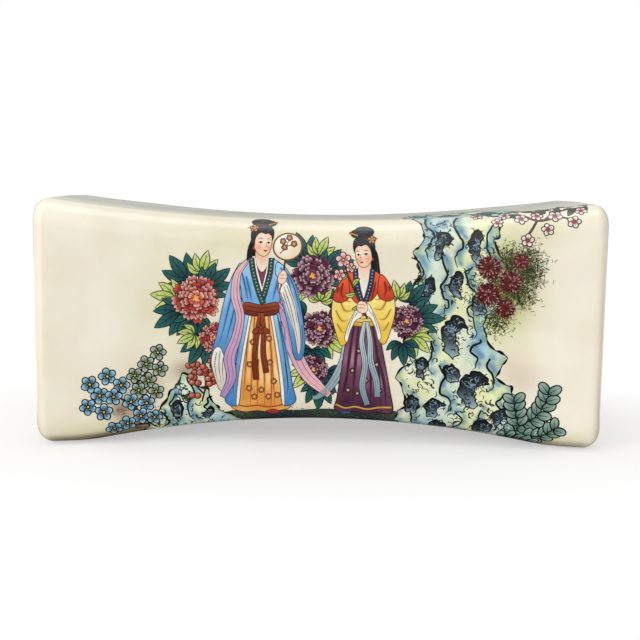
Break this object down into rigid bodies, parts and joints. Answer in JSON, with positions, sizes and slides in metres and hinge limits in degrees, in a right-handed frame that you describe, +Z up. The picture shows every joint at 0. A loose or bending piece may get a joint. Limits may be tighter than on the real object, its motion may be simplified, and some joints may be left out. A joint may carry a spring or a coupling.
{
  "type": "ceramic pillow",
  "caption": "Waisted oblong headrest of glazed porcelain, slab built and hollow, with a dipped top, an arched base, flat square ends and a small firing vent in one end.",
  "frame": {"origin": "on the floor under the middle of the pillow, in the plane of its two flat feet", "axes": "+X along the length towards the end with the vent, +Y from the picture face to the back, +Z up"},
  "size_m": [0.3, 0.1184, 0.129],
  "materials": {
    "glazed_porcelain": "glossy warm cream glaze",
    "biscuit": "unglazed fired clay"
  },
  "bodies": {
    "root": {"top_slab": "glazed_porcelain", "front_slab": "glazed_porcelain", "base_slab": "glazed_porcelain", "back_slab": "glazed_porcelain", "left_end_slab": "glazed_porcelain", "right_end_slab": "glazed_porcelain", "top_back_coil": "biscuit", "top_front_coil": "biscuit", "base_front_coil": "biscuit", "base_back_coil": "biscuit", "left_end_coil": "biscuit"}
  },
  "joints": []
}
